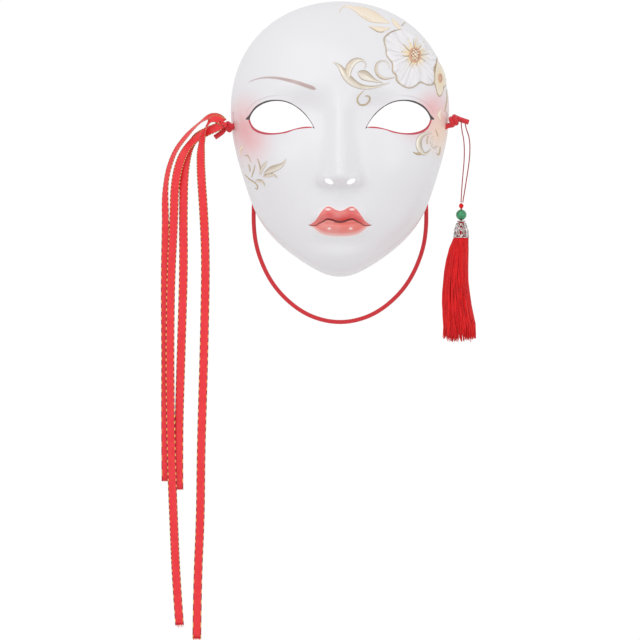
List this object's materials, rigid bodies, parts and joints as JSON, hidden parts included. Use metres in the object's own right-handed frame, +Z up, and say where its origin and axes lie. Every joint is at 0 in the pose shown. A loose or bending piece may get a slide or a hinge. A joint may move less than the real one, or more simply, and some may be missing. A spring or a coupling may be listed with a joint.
{
  "type": "full-face masquerade mask",
  "caption": "White glossy full-face mask with raised gold flowers, a red elastic strap, red ribbons and a beaded tassel.",
  "frame": {"origin": "halfway between the two temple slots, on the line through the strap's ends", "axes": "+Z up, the face looks along -Y, the wearer's head comes in from +Y, +X is the viewer's right"},
  "size_m": [0.2532, 0.0906, 0.51],
  "materials": {
    "shell": "gloss",
    "petal": "gloss",
    "pearl_gold": "satin",
    "gold": "satin",
    "elastic": "woven",
    "ribbon": "satin",
    "thread": "twisted",
    "floss": "silky",
    "bead": "gloss",
    "silver": "antique"
  },
  "bodies": {
    "mask": {"mask_shell": "shell", "crown_leaf": "pearl_gold", "crown_side_leaf": "pearl_gold", "flower_bud": "pearl_gold", "brow_scroll": "gold", "teardrop_leaf": "gold", "brow_curl": "gold", "root_curl": "gold", "large_flower": "petal", "large_flower_centre": "gold", "small_flower": "petal", "small_flower_centre": "gold", "temple_scroll": "gold", "temple_curl": "gold", "cheek_leaf": "gold", "cheek_sprig": "gold", "cheek_fan": "gold", "left_strap_knot": "elastic", "right_strap_knot": "elastic", "left_strap_tail": "elastic", "right_strap_tail": "elastic"},
    "strap": {"strap_cord": "elastic"},
    "hitch": {"ribbon_hitch": "ribbon"},
    "ribbons": {"ribbon_rear_short": "ribbon", "ribbon_middle_short": "ribbon", "ribbon_long_inner": "ribbon", "ribbon_long_front": "ribbon"},
    "hanger": {"tassel_loop_cord": "thread"},
    "tassel": {"tassel_stopper_knot": "thread", "tassel_core_cord": "thread", "filigree_cap": "silver", "tassel_head": "floss", "tassel_skirt": "floss", "tassel_binding": "floss"},
    "bead": {"green_bead": "bead"}
  },
  "joints": [
    {"name": "strap_swing", "type": "hinge", "parent": "mask", "child": "strap", "pos_m": [0, 0, 0], "axis": [1, 0, 0], "range_deg": [0, 130]},
    {"name": "ribbon_swing", "type": "hinge", "parent": "mask", "child": "hitch", "pos_m": [-0.0929, -0.0068, 0.0015], "axis": [1, 0, 0], "range_deg": [-60, 45]},
    {"name": "ribbon_sway", "type": "hinge", "parent": "hitch", "child": "ribbons", "pos_m": [-0.0929, -0.0068, 0.0015], "axis": [0, 1, 0], "range_deg": [-10, 45]},
    {"name": "tassel_swing", "type": "hinge", "parent": "mask", "child": "hanger", "pos_m": [0.0986, 0, 0.003], "axis": [1, 0, 0], "range_deg": [-75, 75]},
    {"name": "tassel_tilt", "type": "hinge", "parent": "hanger", "child": "tassel", "pos_m": [0.097, 0, -0.0642], "axis": [0, 1, 0], "range_deg": [-30, 30]},
    {"name": "bead_spin", "type": "hinge", "parent": "tassel", "child": "bead", "pos_m": [0.097, 0, -0.071], "axis": [0, 0, 1], "range_deg": [-180, 180]}
  ]
}
